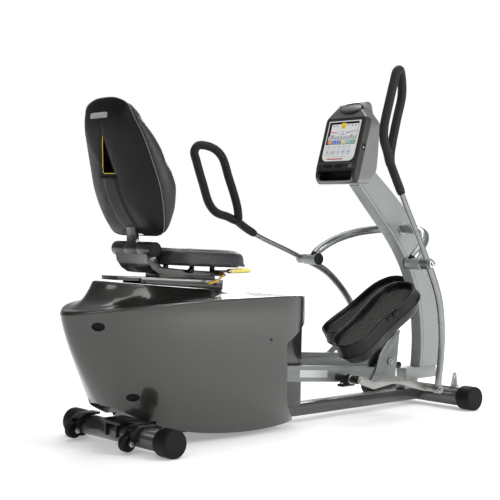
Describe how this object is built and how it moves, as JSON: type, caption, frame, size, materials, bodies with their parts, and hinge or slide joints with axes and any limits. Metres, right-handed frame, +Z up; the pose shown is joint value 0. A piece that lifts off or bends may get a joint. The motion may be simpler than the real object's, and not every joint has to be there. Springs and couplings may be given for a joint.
{
  "type": "recumbent elliptical trainer",
  "caption": "Recumbent elliptical trainer with padded seat and back, foot trays on sliding bars, swing arms with loop grips, boat shaped housing and console on a leaning column.",
  "frame": {"origin": "on the floor, under the middle of the bounding box", "axes": "+X the way the rider faces, +Y the rider's left, +Z up"},
  "size_m": [1.909, 0.802, 1.4021],
  "materials": {
    "frame_paint": "metallic charcoal paint",
    "silver_paint": "silver gray metallic paint",
    "gray_paint": "gray semi gloss paint",
    "link_metal": "zinc plated",
    "bolt_steel": "plated steel",
    "black_metal": "black paint",
    "cap_rubber": "matte moulded rubber",
    "housing_gloss": "metallic gunmetal lacquer",
    "tray_plastic": "moulded, ribbed tread",
    "grip_foam": "closed cell foam grip",
    "shell_plastic": "fine textured black",
    "vinyl": "dark vinyl with fine grain",
    "lever_yellow": "dipped vinyl grip",
    "lever_orange": "dipped coating",
    "console_plastic": "dark console moulding with silver sides",
    "console_overlay": "printed membrane overlay"
  },
  "bodies": {
    "root": {"base_beam": "frame_paint", "front_beam": "silver_paint", "front_riser": "silver_paint", "column": "silver_paint", "rear_stabiliser": "frame_paint", "front_stabiliser": "frame_paint", "end_cap_rear_l": "cap_rubber", "end_cap_rear_r": "cap_rubber", "end_cap_front_l": "cap_rubber", "end_cap_front_r": "cap_rubber", "rear_saddle": "black_metal", "wheel_bracket_l": "black_metal", "wheel_bracket_r": "black_metal", "crossbar": "silver_paint", "pivot_hub_l": "silver_paint", "pivot_hub_r": "silver_paint", "pivot_bolt_l": "bolt_steel", "pivot_bolt_r": "bolt_steel", "front_tab": "link_metal", "housing_shell": "housing_gloss", "deck_cover": "housing_gloss", "front_panel": "housing_gloss", "drive_frame": "frame_paint", "drive_belt": "cap_rubber", "seat_rail": "silver_paint", "console_housing": "console_plastic", "console_face": "console_overlay"},
    "crank": {"crank_shaft": "bolt_steel", "crank_arm_l": "bolt_steel", "crank_arm_r": "bolt_steel", "drive_pulley": "bolt_steel"},
    "flywheel": {"flywheel": "bolt_steel"},
    "wheel_l": {"transport_wheel_l": "cap_rubber"},
    "wheel_r": {"transport_wheel_r": "cap_rubber"},
    "bar_l": {"pedal_bar_l": "gray_paint", "link_axle_l": "black_metal"},
    "bar_r": {"pedal_bar_r": "gray_paint", "link_axle_r": "black_metal"},
    "tray_l": {"pedal_bracket_l": "gray_paint", "foot_tray_l": "tray_plastic"},
    "tray_r": {"pedal_bracket_r": "gray_paint", "foot_tray_r": "tray_plastic"},
    "pull_pin_l": {"tilt_knob_l": "tray_plastic"},
    "pull_pin_r": {"tilt_knob_r": "tray_plastic"},
    "arm_l": {"arm_tube_l": "silver_paint", "grip_l": "grip_foam"},
    "arm_r": {"arm_tube_r": "silver_paint", "grip_r": "grip_foam"},
    "link_l": {"link_rod_l": "link_metal"},
    "link_r": {"link_rod_r": "link_metal"},
    "seat": {"seat_frame": "silver_paint", "hinge_tube": "gray_paint", "seat_cushion": "vinyl"},
    "back": {"back_post": "gray_paint", "back_shell": "shell_plastic", "back_cushion": "vinyl"},
    "slide_lever": {"slide_lever": "lever_yellow"},
    "recline_lever": {"recline_lever": "lever_orange"},
    "lock_knob": {"lock_knob": "tray_plastic"}
  },
  "joints": [
    {"name": "step_r", "type": "slide", "parent": "root", "child": "bar_r", "axis": [1, 0, 0], "range_m": [0, 0.324]},
    {"name": "step_l", "type": "slide", "parent": "root", "child": "bar_l", "axis": [1, 0, 0], "range_m": [-0.3245, 0]},
    {"name": "arm_swing_r", "type": "hinge", "parent": "root", "child": "arm_r", "pos_m": [0.4925, 0, 0.628], "axis": [0, 1, 0], "range_deg": [-42.3, 0]},
    {"name": "arm_swing_l", "type": "hinge", "parent": "root", "child": "arm_l", "pos_m": [0.4925, 0, 0.628], "axis": [0, 1, 0], "range_deg": [0, 42.3]},
    {"name": "link_pivot_r", "type": "hinge", "parent": "arm_r", "child": "link_r", "pos_m": [0.5565, -0.368, 0.126], "axis": [0, 1, 0], "range_deg": [0, 16.54]},
    {"name": "link_pivot_l", "type": "hinge", "parent": "arm_l", "child": "link_l", "pos_m": [0.87712, 0.368, 0.29911], "axis": [0, 1, 0], "range_deg": [-15.97, 0]},
    {"name": "crank_spin", "type": "hinge", "parent": "root", "child": "crank", "pos_m": [-0.4135, 0, 0.265], "axis": [0, 1, 0], "continuous": true},
    {"name": "flywheel_spin", "type": "hinge", "parent": "root", "child": "flywheel", "pos_m": [-0.6635, 0, 0.33], "axis": [0, 1, 0], "continuous": true},
    {"name": "wheel_spin_l", "type": "hinge", "parent": "root", "child": "wheel_l", "pos_m": [-0.7875, 0.205, 0.038], "axis": [0, 1, 0], "continuous": true},
    {"name": "wheel_spin_r", "type": "hinge", "parent": "root", "child": "wheel_r", "pos_m": [-0.7875, -0.14, 0.038], "axis": [0, 1, 0], "continuous": true},
    {"name": "tray_tilt_r", "type": "hinge", "parent": "bar_r", "child": "tray_r", "pos_m": [0.4615, -0.165, 0.228], "axis": [0, 1, 0], "range_deg": [0, 8]},
    {"name": "tray_tilt_l", "type": "hinge", "parent": "bar_l", "child": "tray_l", "pos_m": [0.7855, 0.165, 0.228], "axis": [0, 1, 0], "range_deg": [0, 8]},
    {"name": "pin_pull_r", "type": "slide", "parent": "tray_r", "child": "pull_pin_r", "axis": [1, 0, 0], "range_m": [0, 0.012], "stiffness_N_per_m": 600},
    {"name": "pin_pull_l", "type": "slide", "parent": "tray_l", "child": "pull_pin_l", "axis": [1, 0, 0], "range_m": [0, 0.012], "stiffness_N_per_m": 600},
    {"name": "seat_slide", "type": "slide", "parent": "root", "child": "seat", "axis": [0.9983, 0, -0.059], "range_m": [-0.05, 0.14]},
    {"name": "back_recline", "type": "hinge", "parent": "seat", "child": "back", "pos_m": [-0.6499, 0, 0.7023], "axis": [0, 1, 0], "range_deg": [-10, 8]},
    {"name": "slide_release", "type": "hinge", "parent": "seat", "child": "slide_lever", "pos_m": [-0.3755, -0.14, 0.617], "axis": [0, 1, 0], "range_deg": [0, 6], "stiffness_Nm_per_rad": 2},
    {"name": "recline_release", "type": "hinge", "parent": "seat", "child": "recline_lever", "pos_m": [-0.3435, -0.12, 0.605], "axis": [0, 1, 0], "range_deg": [0, 18], "stiffness_Nm_per_rad": 1},
    {"name": "knob_turn", "type": "hinge", "parent": "seat", "child": "lock_knob", "pos_m": [-0.4895, -0.11, 0.622], "axis": [0, 1, 0], "range_deg": [0, 180]}
  ],
  "couplings": [
    {"joint": "step_l", "follows": "step_r", "ratio": -1},
    {"joint": "arm_swing_r", "follows": "step_r", "rad_per_m": -2.2732},
    {"joint": "arm_swing_l", "follows": "step_r", "rad_per_m": 2.2732},
    {"joint": "link_pivot_r", "follows": "step_r", "rad_per_m": 0.88551},
    {"joint": "link_pivot_l", "follows": "step_r", "rad_per_m": -0.855},
    {"joint": "flywheel_spin", "follows": "crank_spin", "ratio": 5.2609}
  ]
}
